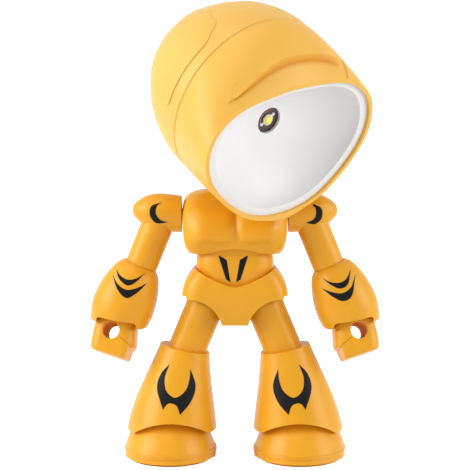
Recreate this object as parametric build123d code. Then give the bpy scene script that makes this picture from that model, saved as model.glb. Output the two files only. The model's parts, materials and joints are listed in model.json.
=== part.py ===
"""Desk lamp shaped as a standing robot figure with a reflector bowl in its helmet."""
import os
from math import cos, pi, sin

from build123d import *

os.makedirs("parts", exist_ok=True)

# General fits and walls
part_gap = 0.4
pin_play = 0.06
wall = 2.2
set_back = 23.6

# Neck: lean pin, leaned post, swivel eye, nod pin
lean_pin_y = 5.8
lean_pin_z = 130.5
lean_angle = 17.5
turn_angle = 38.0
nod_angle = 15.0
nod_height = 29.6
neck_pin_radius = 1.5
post_radius = 4.0
swivel_radius = 5.6
swivel_start = 8.0

# Helmet, in its own frame: seam centre at the origin, opening towards -Y
dome_radius = 46.0
dome_length = 56.0
nod_behind_seam = 4.2
nod_below_seam = 32.5
mouth_forward = 34.5
mouth_drop = 7.4
mouth_tilt = 8.0
mouth_mean = 41.0
mouth_waves = (-0.2, -7.7, -2.6, 0.9, 0.9)
rim_width = 2.0
seam_chamfer = 0.5
forehead_rise = 1.4
brow_rise = 3.3
brow_half_angle = 56.0
brow_end_margin = 3.0
brow_middle_y = -19.6
brow_end_x = 33.0
brow_end_y = -20.0
brow_foot_z = 33.0
brow_lean = 8.0
panel_rise = 0.5

# Reflector bowl and LED
ledge_depth = 1.5
ledge_thickness = 1.6
bowl_depth = 17.8
bowl_rise = 7.6
bowl_wall = 1.5
led_hole_radius = 6.9
led_board_radius = 9.0
led_board_thickness = 1.6
led_package = 5.6
led_lens_radius = 2.0
led_leg_reach = 4.6
led_turn = 30.0
heat_sink_radius = 9.0
heat_sink_height = 9.0

# Press button in the dome
button_radius = 8.0
button_travel = 1.5
button_proud = 2.6

# Chest
chest_bottom = 106.6
chest_arch = 3.0
valley_z = 120.5
valley_y = -24.4
valley_reach = 14.0
valley_radius = 8.6
valley_lean = 17.0
valley_wall = 1.3
cell_length = 30.0
cell_thickness = 6.2
cell_height = 10.2
cell_back = -7.4

# Arms
shoulder_z = 125.5
shoulder_x = 37.2
arm_angle = 22.0
upper_arm_radius = 8.2
upper_arm_length = 27.7
shoulder_pin_radius = 3.0
pauldron_face = 27.1
pauldron_tilt = 6.0
elbow_pin_radius = 3.5
elbow_pin_length = 12.0
gauntlet_radius = 15.9
gauntlet_offset = 0.8
gauntlet_rim = 33.2
rim_tilt = 12.0
gauntlet_cavity_radius = 12.2
gauntlet_cavity_depth = 8.0
wrist_pin_radius = 2.5
wrist_pin_sink = 6.0
wrist_pin_stop = 1.0
hand_width = 22.8
hand_depth = 17.0
hand_inset = 1.2
hand_twist = 12.0
hand_pitch = 16.0
grip_radius = 4.4
grip_offset = 4.9
hand_length = 16.9

# Waist and pelvis
abdomen_width = 39.0
abdomen_depth = 27.0
abdomen_bottom = 88.4
waist_pin_radius = 5.0
pelvis_top = 98.4
pelvis_bottom = 70.2
pelvis_half_width = 27.0
pelvis_dip = 8.4
leg_arch_x = 23.4
leg_arch_z = 66.7
leg_arch_radius = 17.0
hip_x = 15.5
hip_z = 78.0
hip_pin_radius = 2.0

# Legs
leg_angle = 22.5
thigh_radius = 9.75
boot_top_x = 25.65
boot_top_z = 56.6
boot_top_radius = 12.9
boot_base_x = 32.5
boot_base_z = 15.0
boot_base_half_width = 23.0
boot_base_half_depth = 25.4
boot_arch_rise = 6.6
foot_x = 33.3
foot_half_width = 24.0
foot_radius = 28.0
foot_height = 26.5
sole_split = 4.0
pad_thickness = 1.2
ankle_z = 9.0
ankle_pin_radius = 2.0
ankle_lug_width = 8.0

made = {}


def save(name, shape):
    """Keep a named piece."""
    made[name] = shape


def rod_x(radius, x0, x1, y=0.0, z=0.0):
    """Round rod along X from x0 to x1."""
    middle = (x0 + x1) / 2
    return Pos(middle, y, z) * Rot(0, 90, 0) * Cylinder(radius, abs(x1 - x0))


def rod_y(radius, y0, y1, x=0.0, z=0.0):
    """Round rod along Y from y0 to y1."""
    middle = (y0 + y1) / 2
    return Pos(x, middle, z) * Rot(90, 0, 0) * Cylinder(radius, abs(y1 - y0))


def rod_z(radius, z0, z1, x=0.0, y=0.0):
    """Round rod along Z from z0 to z1."""
    middle = (z0 + z1) / 2
    return Pos(x, y, middle) * Cylinder(radius, abs(z1 - z0))


def box(x0, x1, y0, y1, z0, z1):
    """Box between two corners."""
    centre = Pos((x0 + x1) / 2, (y0 + y1) / 2, (z0 + z1) / 2)
    return centre * Box(abs(x1 - x0), abs(y1 - y0), abs(z1 - z0))


def rounded(width, depth, corner, z, x=0.0, y=0.0):
    """Rounded rectangle section at height z."""
    return Pos(x, y, z) * RectangleRounded(width, depth, corner)


def smooth_turned(curve, inner_end, outer_end):
    """Solid of revolution about Z under a smooth curve of (radius, height) points."""
    top = Spline(*[(r, 0, z) for r, z in curve])
    r0, z0 = curve[0]
    r1, z1 = curve[-1]
    side = Polyline((r1, 0, z1), (0, 0, outer_end), (0, 0, inner_end), (r0, 0, z0))
    return revolve(make_face(top + side), Axis.Z)


def spheroid(reach, radius):
    """Half-ellipse turned about X: reach along X, radius across it."""
    points = [(-reach * cos(pi * i / 10), radius * sin(pi * i / 10)) for i in range(11)]
    half = Spline(*points, tangents=((0, 1), (0, -1)))
    return revolve(make_face(half + Line((reach, 0), (-reach, 0))), Axis.X)


def both_sides(name, shape):
    """Keep a piece on the left and its mirror image on the right."""
    save(name + "_left", shape)
    save(name + "_right", mirror(shape, about=Plane.YZ))


# Head frame

neck_frame = Pos(0, lean_pin_y, lean_pin_z) * Rot(lean_angle, 0, 0)
swivel_frame = neck_frame * Rot(0, 0, turn_angle) * Pos(0, 0, nod_height)
head_frame = swivel_frame * Rot(nod_angle, 0, 0)
head_frame = head_frame * Pos(0, -nod_behind_seam, nod_below_seam)


def mouth_radius(phi):
    """Distance from the opening's centre to its edge, phi measured from the top."""
    return mouth_mean + sum(w * cos((k + 1) * phi) for k, w in enumerate(mouth_waves))


def helmet_section(forward, drop, tilt, radius_at, count=20):
    """Closed smooth section of the helmet on a plane facing -Y."""
    place = Pos(0, -forward, -drop) * Rot(-tilt, 0, 0)
    points = []
    for i in range(count):
        phi = 2 * pi * i / count
        r = radius_at(phi)
        points.append((r * sin(phi), 0, r * cos(phi)))
    return place * make_face(Spline(*points, periodic=True))


def brow_swell(phi):
    """Share of the brow's rise at an angle from the top, nothing beyond its ends."""
    angle = abs((phi + pi) % (2 * pi) - pi)
    return max(0.0, cos(pi / 2 * angle / (pi * brow_half_angle / 180)))


def helmet_loft(grow, swell=0.0):
    """Front of the helmet from the seam to the opening, grown, with a swollen forehead."""
    def seam(phi):
        return dome_radius + grow

    def middle(phi):
        crown = forehead_rise * max(0.0, cos(phi)) ** 2 + swell * brow_swell(phi)
        return 0.48 * dome_radius + 0.52 * (mouth_radius(phi) + rim_width) + 1.2 + crown + grow

    def edge(phi):
        return mouth_radius(phi) + rim_width + grow + swell * brow_swell(phi)

    return loft([
        helmet_section(0, 0, 0, seam),
        helmet_section(0.5 * mouth_forward, 0.42 * mouth_drop, 0.5 * mouth_tilt, middle),
        helmet_section(mouth_forward, mouth_drop, mouth_tilt, edge),
    ])


def dome_face(grow):
    """Quarter ellipse turned into the back of the helmet, grown by an amount."""
    radius = dome_radius + grow
    length = dome_length + grow
    angles = [pi / 2 * i / 6 for i in range(7)]
    points = [(radius * cos(a), length * sin(a)) for a in angles]
    quarter = Spline(*points, tangents=((0, 1), (-1, 0)))
    return make_face(quarter + Polyline((0, length), (0, 0), (radius, 0)))


def dome(grow):
    """Half ellipsoid behind the seam, grown by an amount."""
    return revolve(dome_face(grow), Axis.Y)


def dome_shell():
    """Hollow back of the helmet with the round hole for the button."""
    hole = Rectangle(2 * (button_radius + part_gap), 4 * dome_length)
    return revolve(dome_face(0) - dome_face(-wall) - hole, Axis.Y)


def mouth_oval(depth, scale, rise, grow=0.0):
    """Section of the bowl behind the mouth plane."""
    return helmet_section(0, -rise, 0, lambda phi: scale * mouth_radius(phi) + grow, 16)


mouth_frame = Pos(0, -mouth_forward, -mouth_drop) * Rot(-mouth_tilt, 0, 0)


def bowl_dish(grow):
    """Dish of the reflector, smooth from the ledge to the LED hole."""
    steps = ((-5.0, 0.925, 0.6), (ledge_depth + 0.4, 0.90, 0.8), (8.5, 0.78, 2.4),
             (14.0, 0.58, 4.6), (17.0, 0.36, 6.6))
    sections = []
    for depth, scale, rise in steps:
        place = Pos(0, depth + 0.6 * grow, 0)
        sections.append(place * mouth_oval(0, scale, rise, grow))
    hole = helmet_section(-bowl_depth - grow, -bowl_rise, 0,
                          lambda phi: led_hole_radius + 1.0 + grow, 16)
    return loft(sections + [hole])


# Helmet shells

def brow_cut():
    """Space in front of the leaning step of the brow, down to the plain shell."""
    step = ThreePointArc((-brow_end_x, brow_end_y), (0, brow_middle_y), (brow_end_x, brow_end_y))
    ends = Polyline((brow_end_x, brow_end_y), (90, 0), (90, 90), (-90, 90), (-90, 0),
                    (-brow_end_x, brow_end_y))
    floor = Pos(0, 0, brow_foot_z) * make_face(step + ends)
    lean = Vector(0, sin(pi * brow_lean / 180), cos(pi * brow_lean / 180))
    behind = extrude(floor, 40, dir=lean) + extrude(floor, 120, dir=-lean)
    side = 90 * sin(pi * (brow_half_angle - brow_end_margin) / 180)
    up = 90 * cos(pi * (brow_half_angle - brow_end_margin) / 180)
    wedge = Polyline((0, -4), (side, up), (-side, up), close=True)
    wedge = extrude(Plane.XZ * make_face(wedge), 70)
    return wedge - behind - helmet_loft(0)


def helmet_shells():
    """Front and back shells with the neck slot and the seam chamfers."""
    front_outer = helmet_loft(0, brow_rise) - brow_cut()
    front_inner = helmet_loft(-wall)
    neck_slot = box(-8.5, 8.5, -10, 13, -60, -nod_below_seam - 4)
    neck_slot = fillet(neck_slot.edges().filter_by(Axis.Z), 6)
    bevel = Rot(90, 0, 0) * Torus(dome_radius + 0.2, seam_chamfer + 0.2)
    front = front_outer - front_inner - neck_slot - bevel
    back = dome_shell() - neck_slot - bevel
    nod_boss = rod_x(4.5, -21, 21, nod_behind_seam, -nod_below_seam)
    nod_boss = nod_boss - rod_x(8.9, -4.1, 4.1, nod_behind_seam, -nod_below_seam)
    web = box(-21, -9, 0.5, 5.5, -50, -nod_below_seam)
    nod_boss = nod_boss + web + mirror(web, about=Plane.YZ)
    nod_boss = (nod_boss & dome(0.5 - wall)) - neck_slot
    nod_boss = nod_boss - box(-30, 30, -20, 0, -60, 0)
    nod_boss = nod_boss - rod_x(neck_pin_radius, -15, 15, nod_behind_seam,
                                -nod_below_seam)
    return front, back + nod_boss, front_outer, front_inner


front, back, front_outer, front_inner = helmet_shells()


def side_panel():
    """Faintly raised rounded panel on the side of the dome."""
    band = dome(panel_rise) - dome(0)
    outline = Polyline((7.5, 2), (7, 36), (14, 41), (28, 38.5), (43, 30), (49, 2), close=True)
    plate = extrude(make_face(Plane.YZ * outline), 60, both=True)
    plate = fillet(plate.edges().filter_by(Axis.X), 5)
    return band & plate & box(-60, -8, -10, 70, -10, 60)


panel = side_panel()

# Bowl and lamp

ledge_plate = extrude(mouth_oval(0, 1.15, 0), ledge_thickness)
ledge_box = ledge_plate.bounding_box()
ledge_plate = Pos(0, ledge_depth - ledge_box.min.Y, 0) * ledge_plate
ledge_plate = mouth_frame * ledge_plate & front_inner
dish_inner = bowl_dish(0)
dish_outer = bowl_dish(bowl_wall)
throat = rod_y(led_hole_radius, bowl_depth - 3, bowl_depth + 4, 0, bowl_rise)
behind_ledge = box(-80, 80, ledge_depth + 0.6, 60, -80, 80)
bowl = ledge_plate + mouth_frame * (dish_outer & behind_ledge)
bowl = bowl - mouth_frame * dish_inner - mouth_frame * throat

led_y = bowl_depth + bowl_wall
led_frame = mouth_frame * Pos(0, led_y, bowl_rise)
led_board = led_frame * rod_y(led_board_radius, 0, led_board_thickness)
emitter = rod_y(led_package / 2, -1.2, 0)
tab = box(-led_leg_reach, 0, -0.5, 0, -0.8, 0.8)
emitter = emitter + tab + mirror(tab, about=Plane.YZ)
emitter = emitter + Pos(0, -1.2, 0) * Rot(90, 0, 0) * Sphere(led_lens_radius, 0, 90)
emitter = led_frame * Rot(0, -led_turn, 0) * emitter
fins = rod_y(heat_sink_radius, led_board_thickness, led_board_thickness + heat_sink_height)
for i in range(-2, 3):
    fins = fins - box(3.4 * i - 0.9, 3.4 * i + 0.9, led_board_thickness + 2.5, 30, -20, 20)
heat_sink = led_frame * fins

# Press button at the back of the dome

button = rod_y(button_radius, dome_length - 5.2, dome_length + button_proud)
button = fillet(button.edges().filter_by(GeomType.CIRCLE).sort_by(Axis.Y)[-1], 1.6)
button = button + rod_y(button_radius + 1.6, dome_length - 6.4, dome_length - 5.2)
button = button + rod_y(2.0, dome_length - 9.0, dome_length - 6.4)
switch_y = dome_length - 9.0 - button_travel - part_gap
switch = rod_y(3.0, switch_y - 3.5, switch_y)
switch = switch + box(-4, 4, switch_y - 5.5, switch_y - 2.2, -4, 4)
switch_board = box(-15, 15, switch_y - 7.1, switch_y - 5.5, -9, 9)
posts = [rod_y(2.0, switch_y - 5.5, dome_length, x, 0) for x in (-13, 13)]
posts = (posts[0] + posts[1]) & dome(0.5 - wall)
back = back + posts

nod_pin = rod_x(neck_pin_radius, -15, 15, nod_behind_seam, -nod_below_seam)

save("helmet_front", head_frame * front)
save("helmet_back", head_frame * back)
save("side_panel_left", head_frame * panel)
save("side_panel_right", head_frame * mirror(panel, about=Plane.YZ))
save("reflector_bowl", head_frame * bowl)
save("led_board", head_frame * led_board)
save("led_emitter", head_frame * emitter)
save("heat_sink", head_frame * heat_sink)
save("power_button", head_frame * button)
save("button_switch", head_frame * (switch + switch_board))
save("nod_pin", head_frame * nod_pin)

# Neck

swivel = rod_x(5.0, -3.5, 3.5)
swivel = swivel + rod_z(swivel_radius, swivel_start - nod_height, -5.0)
swivel = swivel + rod_z(3.5, -6, -2)
swivel = swivel - rod_x(neck_pin_radius + pin_play, -10, 10)
swivel = swivel - rod_z(post_radius + pin_play, swivel_start - nod_height - 1, -8.0)
post = rod_z(post_radius, 6.5, nod_height - 8.0 - part_gap) + rod_x(4.2, -3.4, 3.4)
post = post + box(-3.4, 3.4, -3.0, 3.0, 0, 8)
post = post - rod_x(neck_pin_radius + pin_play, -10, 10)
save("neck_swivel", swivel_frame * swivel)
save("neck_post", neck_frame * post)
lean_pin = rod_x(neck_pin_radius, -9, 9, lean_pin_y, lean_pin_z)
save("lean_pin", lean_pin)

# Chest


def chest_form(grow):
    """Torso with sloping upper chest, grown by an amount."""
    top = 137.5 + grow
    low = chest_bottom - grow
    two = 2 * grow
    return loft([
        rounded(47.0 + two, 28 + two, 8 + grow, low, 0, 0.5),
        rounded(52.0 + two, 35 + two, 9 + grow, 114, 0, -0.5),
        rounded(53.2 + two, 34.5 + two, 9 + grow, 123, 0, 0),
        rounded(52.6 + two, 27 + two, 8 + grow, 131, 0, 2.5),
        rounded(34 + two, 17 + two, 7 + grow, top, 0, 5.5),
    ])


def chest_arch_cut(grow):
    """Arched cut under the front of the chest, grown by an amount."""
    low = chest_bottom - 1
    rise = chest_bottom + chest_arch + grow
    curve = Spline((-17 - grow, chest_bottom), (-9, chest_bottom + 0.6 * chest_arch + grow),
                   (0, rise), (9, chest_bottom + 0.6 * chest_arch + grow),
                   (17 + grow, chest_bottom), tangents=((1, 0.1), (1, -0.1)))
    ends = Polyline((17 + grow, chest_bottom), (17 + grow, low), (-17 - grow, low),
                    (-17 - grow, chest_bottom))
    prism = extrude(Plane.XZ * make_face(curve + ends), 40)
    return Pos(0, -12 + grow, 0) * prism


def valley(grow):
    """Groove between the halves of the chest, grown by an amount."""
    form = spheroid(valley_reach + grow, valley_radius + grow)
    return Pos(0, valley_y, valley_z) * Rot(-valley_lean, 0, 0) * Rot(0, 90, 0) * form


chest = chest_form(0) - valley(0) - chest_arch_cut(0)
chest = chest - (chest_form(-wall) - chest_arch_cut(wall) - valley(valley_wall))
neck_hole = rod_z(swivel_radius + 1.8, 126, 150, 0, lean_pin_y)
neck_hole = neck_hole + Pos(0, -4, 0) * neck_hole
chest = chest - neck_hole
floor_plate = box(-17, 17, -11, 12, chest_bottom, chest_bottom + wall + 2)
floor_plate = floor_plate & chest_form(0)
chest = chest + floor_plate - rod_z(waist_pin_radius + pin_play, 100, 120)
ear = box(3.8, 6.8, lean_pin_y - 4, 14, lean_pin_z - 4, 136)
ear = ear + mirror(ear, about=Plane.YZ)
ear = ear & chest_form(-0.5)
chest_top_hole = rod_x(neck_pin_radius, -9, 9, lean_pin_y, lean_pin_z)
pins = rod_x(shoulder_pin_radius, -60, 60, 0, shoulder_z)
bosses = rod_x(5.5, 12, 26, 0, shoulder_z)
bosses = (bosses + mirror(bosses, about=Plane.YZ)) & chest_form(-0.5)
chest = chest + bosses - pins
shelf_top = chest_bottom + wall + 3.8
shelf = box(-cell_length / 2, cell_length / 2, -17, cell_back, chest_bottom + wall + 2, shelf_top)
shelf = shelf & chest_form(-0.5)
chest_front = (chest & box(-40, 40, -40, 0, 90, 150)) + shelf
chest_back = (chest & box(-40, 40, 0, 40, 90, 150)) + (ear - chest_top_hole)
socket_z = chest_bottom + wall + 2 + 3.6
socket_cut = box(-5, 5, 5, 30, socket_z - 2, socket_z + 2)
chest_back = chest_back - socket_cut
save("chest_front", chest_front)
save("chest_back", chest_back)

shoulder_pin = rod_x(shoulder_pin_radius, -shoulder_x, -10, 0, shoulder_z)
both_sides("shoulder_pin", shoulder_pin)
battery = box(-cell_length / 2, cell_length / 2, cell_back - cell_thickness, cell_back,
              shelf_top, shelf_top + cell_height)
battery = fillet(battery.edges().filter_by(Axis.X), 2)
save("battery_cell", battery)
board = box(-12, 12, 7.5, 12.8, socket_z - 3.6, socket_z - 2)
save("charge_board", board)
socket = box(-4.6, 4.6, 8, 16.2, socket_z - 2, socket_z + 1.6)
socket = fillet(socket.edges().filter_by(Axis.Y), 1.2)
socket = socket - box(-3.8, 3.8, 9.5, 20, socket_z - 1.4, socket_z + 1.0)
save("charging_socket", socket)

# Arms, built on the left in a frame along the arm

arm_frame = Pos(-shoulder_x, 0, shoulder_z) * Rot(0, 180 + arm_angle, 0)
fore_frame = arm_frame * Pos(0, 0, upper_arm_length)
shoulder_frame = Pos(0, 0, shoulder_z)

upper_arm = rod_z(upper_arm_radius, 0, upper_arm_length)
upper_arm = arm_frame * (upper_arm - rod_z(elbow_pin_radius, 16, 40))
upper_arm = upper_arm - rod_x(shoulder_pin_radius + pin_play, -39, -20, 0, shoulder_z)
cap = smooth_turned(((9.0, 24), (9.4, 28), (9.6, 33), (9.4, 39.5), (8.2, 44.5), (5.6, 48.8),
                     (2.2, 52)), 24, 52)
cap = Pos(0, 0, -pauldron_face) * cap
cap = Pos(-pauldron_face, 0, shoulder_z) * Rot(0, -90 + pauldron_tilt, 0) * cap
pauldron = cap & box(-60, -pauldron_face, -20, 20, 100, 150)
pauldron = pauldron - upper_arm
pauldron = pauldron - rod_x(shoulder_pin_radius + pin_play, -39, -20, 0, shoulder_z)
elbow_pin = rod_z(elbow_pin_radius, 16, upper_arm_length + elbow_pin_length)
both_sides("pauldron", pauldron)
both_sides("upper_arm", upper_arm)
both_sides("elbow_pin", arm_frame * elbow_pin)

fore_axis = fore_frame * Pos(gauntlet_offset, 0, 0)
wrist_frame = fore_axis * Pos(0, 0, gauntlet_rim) * Rot(0, -rim_tilt, 0)
gauntlet_curve = ((8.2, 0.4), (10.9, 3), (13.2, 8), (14.7, 13), (15.6, 18.5),
                  (gauntlet_radius, 24), (15.3, 29), (14.3, 33), (13.4, 37), (12.8, 40))
gauntlet = fore_axis * smooth_turned(gauntlet_curve, 0.4, 40)
gauntlet = gauntlet - wrist_frame * box(-30, 30, -30, 30, 0, 30)
gauntlet = fillet(gauntlet.faces().sort_by(Axis.Z)[0].edges(), 1.5)
cavity = rod_z(gauntlet_cavity_radius, -gauntlet_cavity_depth, 30)
notch = box(-10.5, 10.5, -30, -5, -3.6, 30)
notch = fillet(notch.edges().filter_by(Axis.Y).group_by(Axis.Z)[0], 2.5)
gauntlet = gauntlet - wrist_frame * (cavity + notch)
gauntlet = gauntlet - fore_frame * rod_z(elbow_pin_radius + pin_play, 0,
                                         elbow_pin_length + part_gap)
pin_start = -gauntlet_cavity_depth - wrist_pin_sink
wrist_pin = rod_z(wrist_pin_radius, pin_start, -wrist_pin_stop)
gauntlet = gauntlet - wrist_frame * wrist_pin
both_sides("gauntlet", gauntlet)
both_sides("wrist_pin", wrist_frame * wrist_pin)

fist = loft([
    Pos(0, 0, -12) * RectangleRounded(hand_width - 2.4, hand_depth, 6),
    Pos(-0.4 * hand_inset, 0, 0.5) * RectangleRounded(hand_width - 1.6, hand_depth, 6),
    Pos(-hand_inset, 0, 9.0) * RectangleRounded(hand_width, hand_depth, 6),
    Pos(-hand_inset, 0, hand_length + 4) * RectangleRounded(hand_width - 4.2, hand_depth - 1.6, 6),
])
palm_end = Pos(0, 0, hand_length) * Rot(0, 6, 0) * box(-30, 30, -30, 30, 0, 30)
fist = fillet((fist - palm_end).faces().sort_by(Axis.Z)[-1].edges(), 2.4)
thumb_step = Polyline((-10.6, 12.0), (-14.6, 10.0), (-14.6, 24), (-9.0, 24), close=True)
fist = fist - extrude(Plane.XZ * make_face(thumb_step), 20, both=True)
fist = fist - rod_y(grip_radius, -20, 20, 0, grip_offset)
hand_lean = Rot(0, 0, hand_twist) * Rot(hand_pitch, 0, 0)
fist = hand_lean * fist
stem = fist & rod_z(gauntlet_cavity_radius - part_gap, part_gap - gauntlet_cavity_depth, part_gap)
hand = stem + (fist & box(-30, 30, -30, 30, part_gap, 40))
hand = hand - rod_z(wrist_pin_radius + pin_play, -20, pin_play - wrist_pin_stop)
both_sides("hand", wrist_frame * hand)

# Waist and pelvis

abdomen = loft([
    rounded(abdomen_width - 3, abdomen_depth - 3, 11, abdomen_bottom),
    rounded(abdomen_width, abdomen_depth, 12, 95),
    rounded(abdomen_width - 1, abdomen_depth - 1, 12, chest_bottom - part_gap),
])
waist_pin = rod_z(waist_pin_radius, 90, chest_bottom + wall + 4.5)
pin_head = rod_z(waist_pin_radius + 1.8, chest_bottom + wall + 2.3, chest_bottom + wall + 4.5)
save("abdomen", abdomen - waist_pin)
save("waist_pin", waist_pin + pin_head)


def pelvis_form(grow):
    """Pelvis block before the leg openings are cut, grown by an amount."""
    wide = 2 * (pelvis_half_width + grow)
    return loft([
        rounded(wide - 12, 26 + 2 * grow, 8 + grow, pelvis_bottom - 2 - grow),
        rounded(wide, 32 + 2 * grow, 9 + grow, 85),
        rounded(wide - 12.6, 29 + 2 * grow, 9 + grow, pelvis_top + grow),
    ])


def pelvis_dip_cut(drop):
    """Curved cut over the pelvis, lowered by an amount."""
    low = pelvis_top - pelvis_dip - drop
    heights = ((-24, 12.0), (-20, 8.6), (-15, 5.6), (-10, 3.2), (-5, 1.1), (0, 0),
               (5, 1.1), (10, 3.2), (15, 5.6), (20, 8.6), (24, 12.0))
    curve = Spline(*[(x, low + h) for x, h in heights])
    ends = Polyline((24, low + 12.0), (24, low + 30), (-24, low + 30), (-24, low + 12.0))
    return extrude(Plane.XZ * make_face(curve + ends), 40, both=True)


pelvis_body = pelvis_form(0) - pelvis_dip_cut(0)
pelvis = pelvis_body - (pelvis_form(-wall) - pelvis_dip_cut(wall))
leg_cut = rod_y(leg_arch_radius, -40, 40, -leg_arch_x, leg_arch_z)
leg_cut = leg_cut + box(-40, -pelvis_half_width + 2.3, -40, 40, 50, 85.0)
crotch = box(-40, 40, -40, 40, 40, pelvis_bottom)
pelvis = pelvis - leg_cut - mirror(leg_cut, about=Plane.YZ) - crotch - abdomen
hip_boss = rod_x(4.6, -4.6, 4.6, 0, hip_z)
hip_boss = hip_boss + box(-4.6, 4.6, -15, 15, pelvis_bottom + 1, hip_z)
hip_boss = hip_boss & pelvis_form(-0.5)
pelvis = pelvis + hip_boss
hip_axle = rod_x(hip_pin_radius, -22, 22, 0, hip_z)
pelvis = pelvis - hip_axle
save("pelvis_front", pelvis & box(-40, 40, -40, 0, 40, 120))
save("pelvis_back", pelvis & box(-40, 40, 0, 40, 40, 120))
save("hip_axle", hip_axle)

# Legs, built on the left

leg_frame = Pos(-hip_x, 0, hip_z) * Rot(0, 180 + leg_angle, 0)
thigh = rod_z(thigh_radius, 0, 30) + Sphere(thigh_radius)
thigh = leg_frame * thigh
thigh = thigh - rod_x(hip_pin_radius + pin_play, -40, 0, 0, hip_z)


def boot_section(x, z, tilt, rx, ry):
    """Oval section of the boot."""
    return Pos(x, 0, z) * Rot(0, tilt, 0) * Ellipse(rx, ry)


top_r = boot_top_radius
boot = loft([
    boot_section(-boot_top_x, boot_top_z, 12, top_r, top_r),
    boot_section(-28.2, 44, 8, 16.0, 16.8),
    boot_section(-31.0, 29, 3, 20.2, 21.6),
    boot_section(-boot_base_x, boot_base_z, 0, boot_base_half_width, boot_base_half_depth),
])


def foot_dome(grow):
    """Foot turned about the X axis, grown by an amount."""
    low = foot_radius - foot_height
    return Pos(-foot_x, 0, -low) * spheroid(foot_half_width + grow, foot_radius + grow)


foot = foot_dome(0) & box(-70, 0, -40, 40, sole_split, 30)
boot = boot - foot_dome(1.5) - thigh
arch_radius = (19 ** 2 + boot_arch_rise ** 2) / (2 * boot_arch_rise)
arch = rod_y(arch_radius, -60, -10, -boot_base_x, boot_base_z + boot_arch_rise - arch_radius)
arch = arch + mirror(arch, about=Plane.XZ)
boot = boot - arch
lug_half = ankle_lug_width / 2
lug = box(-foot_x - lug_half, -foot_x + lug_half, -5, 5, ankle_z, 32)
lug = lug + rod_x(5, -foot_x - lug_half, -foot_x + lug_half, 0, ankle_z)
lug = lug - rod_x(ankle_pin_radius + pin_play, -50, -10, 0, ankle_z)
boot = boot + lug
slot_half = lug_half + part_gap
slot = box(-foot_x - slot_half, -foot_x + slot_half, -8.2, 8.2, sole_split - 2, 40)
ankle_pin = rod_x(ankle_pin_radius, -foot_x - 12, -foot_x + 12, 0, ankle_z)
foot = foot - slot - ankle_pin
sole = foot_dome(-0.5) & box(-70, 0, -40, 40, pad_thickness, sole_split)
pad = foot_dome(-2.5) & box(-70, 0, -40, 40, 0, pad_thickness)
both_sides("thigh", thigh)
both_sides("boot", boot)
both_sides("foot", foot)
both_sides("ankle_pin", ankle_pin)
both_sides("sole_plate", sole)
both_sides("sole_pad", pad)

# Set back so that the bounding box is centred over the origin, and write the files

for name, shape in made.items():
    placed = Pos(0, set_back, 0) * Compound(shape.solids())
    export_step(placed, "parts/" + name + ".step")
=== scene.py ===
"""Looks of a robot-figure desk lamp: satin yellow plastic, white reflector bowl, printed marks."""

import json
from math import cos, exp, pi, radians, sin

import bpy
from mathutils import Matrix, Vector
from mathutils.bvhtree import BVHTree


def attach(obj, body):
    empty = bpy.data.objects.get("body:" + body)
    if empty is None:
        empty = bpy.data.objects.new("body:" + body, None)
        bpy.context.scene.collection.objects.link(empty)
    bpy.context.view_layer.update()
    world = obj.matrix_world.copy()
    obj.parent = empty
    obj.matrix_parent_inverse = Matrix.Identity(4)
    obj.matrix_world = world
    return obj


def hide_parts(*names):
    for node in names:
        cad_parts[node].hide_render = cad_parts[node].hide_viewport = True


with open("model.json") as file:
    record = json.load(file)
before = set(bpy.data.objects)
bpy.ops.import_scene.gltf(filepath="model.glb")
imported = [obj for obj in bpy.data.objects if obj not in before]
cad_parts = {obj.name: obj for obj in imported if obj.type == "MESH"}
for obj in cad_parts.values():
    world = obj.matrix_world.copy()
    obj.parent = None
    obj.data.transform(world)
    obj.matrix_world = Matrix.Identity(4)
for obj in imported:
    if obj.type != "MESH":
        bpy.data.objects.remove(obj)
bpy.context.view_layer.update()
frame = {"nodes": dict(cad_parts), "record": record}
NODES = frame["nodes"]

# Lengths are metres; names ending in _MM hold millimetres, _PX pixels of the picture
MM = 0.001

# The legs stand this far behind the origin
SET_BACK_MM = 23.6

# Picture and camera
PHOTO_WIDTH_PX = 470.0
PIXEL_MM = 0.510
FIGURE_MIDDLE_PX = 234.2
CAMERA_DISTANCE = 1.0
CAMERA_ELEVATION = radians(7.0)
CAMERA_TARGET = Vector((0, SET_BACK_MM * MM, 0.1148))
SENSOR_MM = 36.0

# Finish of the plastics
GLOSS = 0.5
PLASTIC_IOR = 1.36
GLOW_DEPTH = 1.5 * MM
GLOW_REACH = (1.0, 0.42, 0.10)
COAT_ROUGHNESS = 0.25
ROUGHNESS_DRIFT = 0.05
DRIFT_DETAIL = 3.0
DRIFT_BAND = (0.3, 0.7)
GRAIN_SCALE = 2600.0
GRAIN_DETAIL = 2.0
GRAIN_DEPTH = 0.4 * MM

# Meshes
PRINT_THICKNESS = 0.10 * MM
WELD_REACH = 0.01 * MM
SHARP_ABOVE_DEG = 28.0
RAY_LIFT = 0.01 * MM

# Light and surroundings
FLOOR_HALF = 6.0
FLOOR_TONE = 0.90
FLOOR_LIFT = 0.8
FLOOR_ROUGHNESS = 0.9
FLOOR_GLOSS = 0.1
WHITE = (1.0, 1.0, 1.0, 1.0)
WORLD_LIGHT = 0.34

# Name, place, aim, size and power of each lamp
LAMPS = (
    ("left_box", (-1.15, -0.35, 0.6), (0, 0.02, 0.12), 0.8, 14.0),
    ("right_box", (1.15, -0.3, 0.5), (0, 0.02, 0.12), 0.8, 9.0),
    ("top_box", (-0.2, -0.3, 1.4), (0, 0.02, 0.15), 0.9, 5.0),
)

TOWARDS_SCENE = Vector((0, cos(CAMERA_ELEVATION), -sin(CAMERA_ELEVATION)))
PICTURE_UP = Vector((0, sin(CAMERA_ELEVATION), cos(CAMERA_ELEVATION)))
CAMERA_PLACE = CAMERA_TARGET - CAMERA_DISTANCE * TOWARDS_SCENE


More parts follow.
